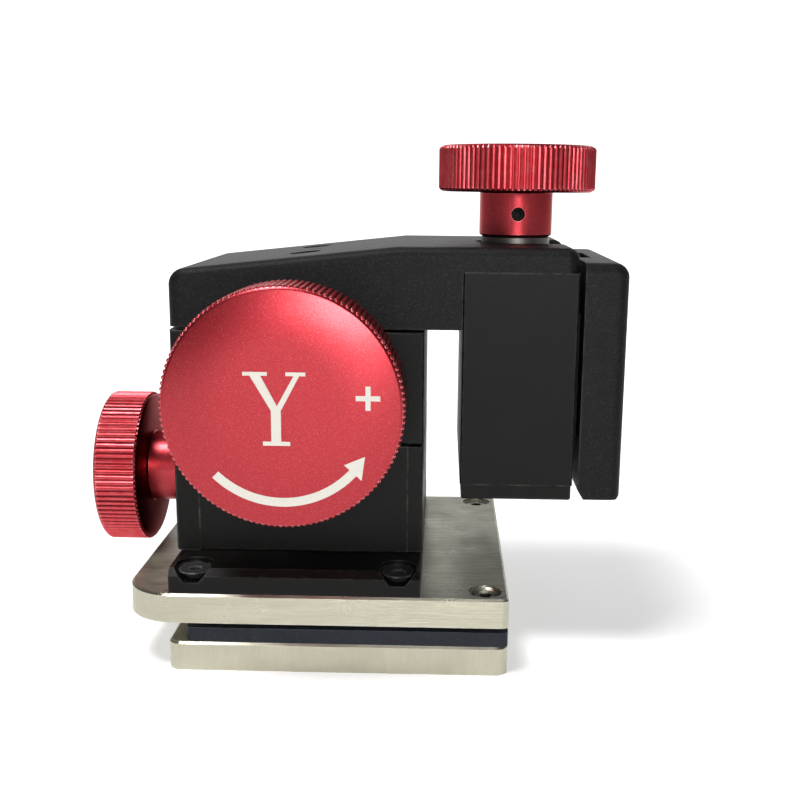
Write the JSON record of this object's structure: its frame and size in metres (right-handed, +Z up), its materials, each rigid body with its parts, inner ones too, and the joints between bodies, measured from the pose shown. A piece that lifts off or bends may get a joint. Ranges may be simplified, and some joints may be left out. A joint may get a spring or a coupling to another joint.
{
  "type": "probe micropositioner",
  "caption": "Three-axis manual positioner on a magnetic base: stacked X, Y and Z crossed-roller slides turned by knurled knobs, with a slab that carries a probe arm.",
  "frame": {"origin": "centre of the magnetic base's underside", "axes": "+X towards the Z stage and its slab, +Y to the back, away from the large knob, +Z up"},
  "size_m": [0.1299, 0.0961, 0.1213],
  "materials": {
    "plate_steel": "brushed warm nickel, satin",
    "bright_steel": "bright turned steel",
    "carrier_black": "matt blue-black",
    "red_anodised": "fine blasted, red anodised",
    "nut_brass": "turned brass",
    "rail_steel": "ground steel",
    "black_oxide": "black oxide",
    "blasted_black": "blasted, black anodised",
    "smooth_black": "smooth black anodised",
    "mark_white": "white print on the knobs"
  },
  "bodies": {
    "base": {"bottom_plate": "plate_steel", "magnet_carrier": "carrier_black", "magnets": "bright_steel", "top_plate": "plate_steel", "plate_screws": "bright_steel", "mounting_flange": "smooth_black", "flange_screws": "black_oxide", "x_housing": "smooth_black", "x_housing_bolts": "black_oxide", "x_knob_plate": "smooth_black", "x_end_cap": "smooth_black", "x_cover_screws": "black_oxide", "x_fixed_rails": "rail_steel", "x_bearing": "bright_steel"},
    "x_spindle": {"x_drive_screw": "rail_steel", "x_knob": "red_anodised", "x_set_screw": "black_oxide"},
    "x_cage": {"x_roller_cages": "nut_brass", "x_rollers": "rail_steel"},
    "x_carriage": {"x_table": "smooth_black", "x_moving_rails": "rail_steel", "x_nut": "nut_brass", "y_housing": "smooth_black", "y_housing_bolts": "black_oxide", "y_knob_plate": "smooth_black", "y_end_cap": "smooth_black", "y_cover_screws": "black_oxide", "y_fixed_rails": "rail_steel", "y_bearing": "bright_steel"},
    "y_spindle": {"y_drive_screw": "rail_steel", "y_knob": "red_anodised", "y_set_screw": "black_oxide"},
    "y_cage": {"y_roller_cages": "nut_brass", "y_rollers": "rail_steel"},
    "y_carriage": {"y_table": "smooth_black", "y_moving_rails": "rail_steel", "y_nut": "nut_brass", "arm": "blasted_black", "arm_screws": "black_oxide", "z_housing": "smooth_black", "z_housing_bolts": "black_oxide", "z_end_cap": "smooth_black", "z_cover_screws": "black_oxide", "z_fixed_rails": "rail_steel", "z_bearing": "bright_steel"},
    "z_spindle": {"z_drive_screw": "rail_steel", "z_knob": "red_anodised", "z_set_screw": "black_oxide"},
    "z_cage": {"z_roller_cages": "nut_brass", "z_rollers": "rail_steel"},
    "z_carriage": {"z_table": "smooth_black", "z_moving_rails": "rail_steel", "z_nut": "nut_brass", "slab_spacer": "smooth_black", "probe_slab": "blasted_black", "slab_screws": "black_oxide"}
  },
  "joints": [
    {"name": "x_knob_turn", "type": "hinge", "parent": "base", "child": "x_spindle", "pos_m": [-0.0402, 0.0019, 0.0379], "axis": [-1, 0, 0], "range_deg": [-4680.5, 4680.5]},
    {"name": "x_travel", "type": "slide", "parent": "base", "child": "x_carriage", "axis": [1, 0, 0], "range_m": [-0.0065, 0.0065]},
    {"name": "x_cage_travel", "type": "slide", "parent": "base", "child": "x_cage", "axis": [1, 0, 0], "range_m": [-0.00325, 0.00325]},
    {"name": "y_knob_turn", "type": "hinge", "parent": "x_carriage", "child": "y_spindle", "pos_m": [-0.01045, -0.0278, 0.06495], "axis": [0, -1, 0], "range_deg": [-4680.5, 4680.5]},
    {"name": "y_travel", "type": "slide", "parent": "x_carriage", "child": "y_carriage", "axis": [0, 1, 0], "range_m": [-0.0065, 0.0065]},
    {"name": "y_cage_travel", "type": "slide", "parent": "x_carriage", "child": "y_cage", "axis": [0, 1, 0], "range_m": [-0.00325, 0.00325]},
    {"name": "z_knob_turn", "type": "hinge", "parent": "y_carriage", "child": "z_spindle", "pos_m": [0.04145, 0.0019, 0.0978], "axis": [0, 0, 1], "range_deg": [-4680.5, 4680.5]},
    {"name": "z_travel", "type": "slide", "parent": "y_carriage", "child": "z_carriage", "axis": [0, 0, 1], "range_m": [-0.0065, 0.0065]},
    {"name": "z_cage_travel", "type": "slide", "parent": "y_carriage", "child": "z_cage", "axis": [0, 0, 1], "range_m": [-0.00325, 0.00325]}
  ],
  "couplings": [
    {"joint": "x_knob_turn", "follows": "x_travel", "rad_per_m": 12566},
    {"joint": "x_cage_travel", "follows": "x_travel", "ratio": 0.5},
    {"joint": "y_knob_turn", "follows": "y_travel", "rad_per_m": 12566},
    {"joint": "y_cage_travel", "follows": "y_travel", "ratio": 0.5},
    {"joint": "z_knob_turn", "follows": "z_travel", "rad_per_m": -12566},
    {"joint": "z_cage_travel", "follows": "z_travel", "ratio": 0.5}
  ]
}
